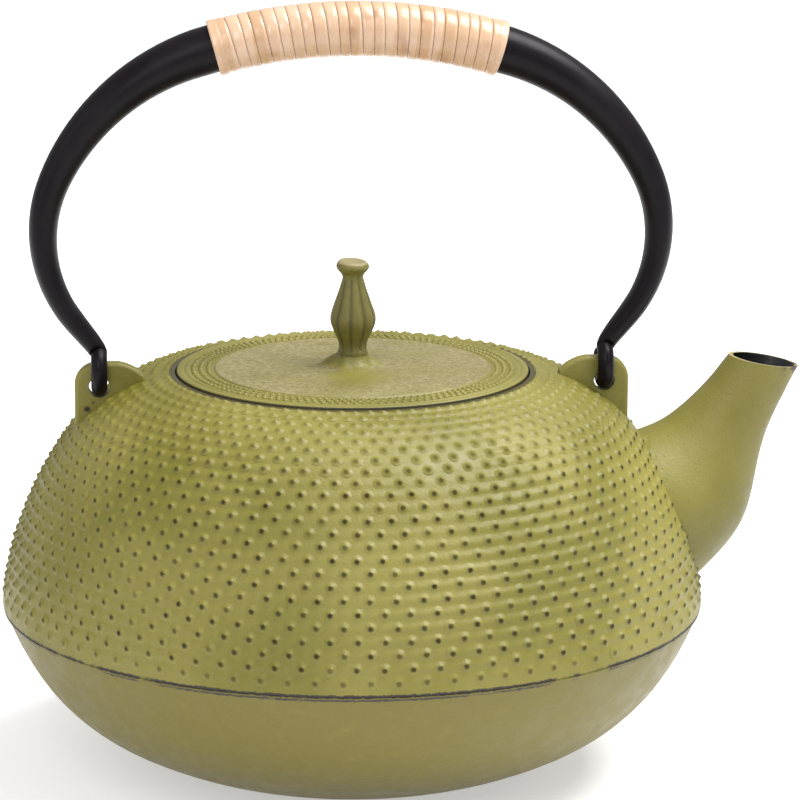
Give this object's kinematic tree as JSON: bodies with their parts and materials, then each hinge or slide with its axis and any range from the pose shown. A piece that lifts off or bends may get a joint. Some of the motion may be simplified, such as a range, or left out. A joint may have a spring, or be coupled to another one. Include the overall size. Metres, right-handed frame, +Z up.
{
  "type": "teapot",
  "caption": "Cast iron teapot with a dotted shell, smooth bowl and spout, round flat lid with a ribbed knob, cane-wrapped bail handle and a strainer basket.",
  "frame": {"origin": "centre of the flat base, on the pot's own axis", "axes": "+Z up along the pot's axis, +X towards the spout, the ears and the bail in the XZ plane"},
  "size_m": [0.2182, 0.1916, 0.2106],
  "materials": {
    "green_enamel": "satin olive green enamel on cast iron, dots rubbed dark at their tips",
    "black_lacquer": "satin black",
    "cane": "glossy split cane",
    "stainless": "brushed"
  },
  "bodies": {
    "kettle": {"kettle_body": "green_enamel"},
    "bail": {"bail_tube": "black_lacquer", "hook_left": "black_lacquer", "hook_right": "black_lacquer", "cane_binding": "cane"},
    "basket": {"basket_rim": "stainless", "basket_wall": "stainless", "basket_band": "stainless", "basket_floor": "stainless"},
    "lid": {"lid_plate": "green_enamel", "lid_knob": "green_enamel", "knob_collar": "green_enamel", "knob_washer": "stainless"}
  },
  "joints": [
    {"name": "bail_fold", "type": "hinge", "parent": "kettle", "child": "bail", "pos_m": [0, 0, 0.1112], "axis": [1, 0, 0], "range_deg": [-90, 90]},
    {"name": "basket_lift", "type": "slide", "parent": "kettle", "child": "basket", "axis": [0, 0, 1], "range_m": [0, 0.02]},
    {"name": "lid_lift", "type": "slide", "parent": "basket", "child": "lid", "axis": [0, 0, 1], "range_m": [0, 0.03]}
  ]
}
